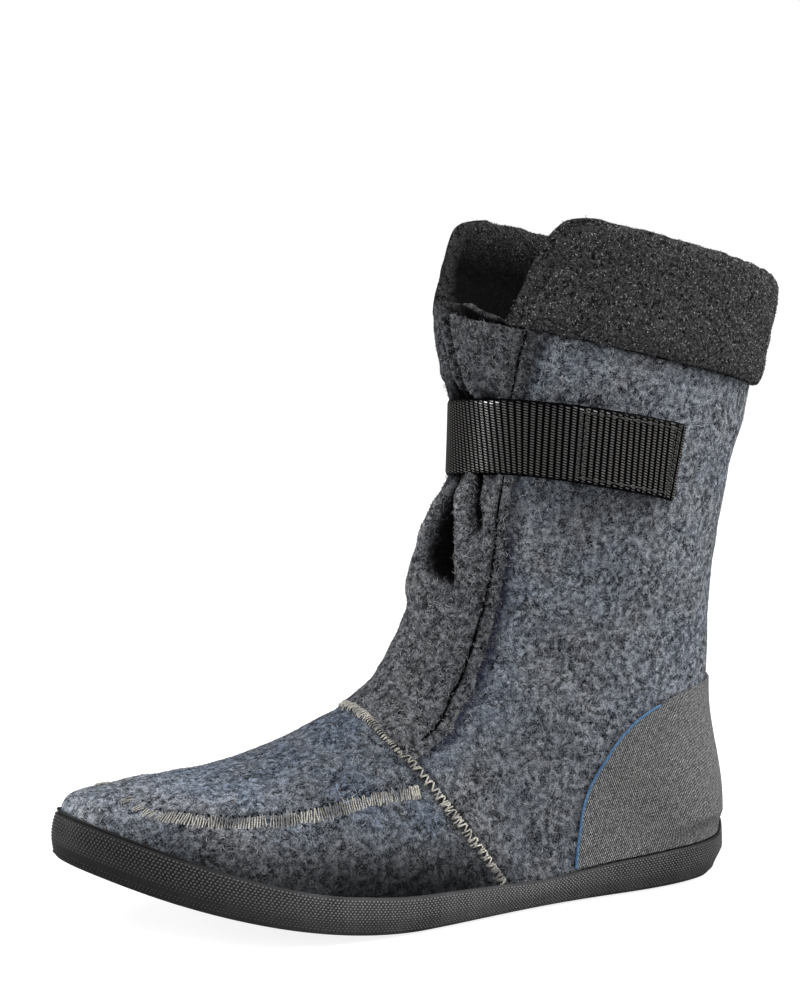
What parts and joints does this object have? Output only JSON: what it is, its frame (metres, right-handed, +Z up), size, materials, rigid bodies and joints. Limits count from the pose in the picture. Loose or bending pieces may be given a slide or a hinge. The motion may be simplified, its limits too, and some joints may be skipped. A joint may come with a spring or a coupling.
{
  "type": "insulated winter boot",
  "caption": "Left winter boot of thick felt with a fleece cuff, a folded gusset over the throat, a webbing strap, a heel patch and a thin rubber cup sole; open at the collar to take a foot.",
  "frame": {"origin": "on the floor under the middle of the heel, 45 mm forward of the back of the sole", "axes": "+X forward to the toe, +Y to the outer side of the left foot, +Z up along the leg"},
  "size_m": [0.3035, 0.1015, 0.2677],
  "materials": {
    "outsole": "matte black rubber with small raised dots on its side",
    "insole": "felt",
    "upper": "thick mottled blue-grey felt",
    "gusset": "dark grey felt",
    "cuff": "dark fleece",
    "heel_counter": "grey twill",
    "strap": "woven webbing",
    "strap_hook_patch": "hook tape"
  },
  "bodies": {
    "root": {"outsole": "outsole", "insole": "insole", "upper": "upper", "gusset": "gusset", "cuff": "cuff", "heel_counter": "heel_counter", "strap": "strap", "strap_hook_patch": "strap_hook_patch"}
  },
  "joints": []
}
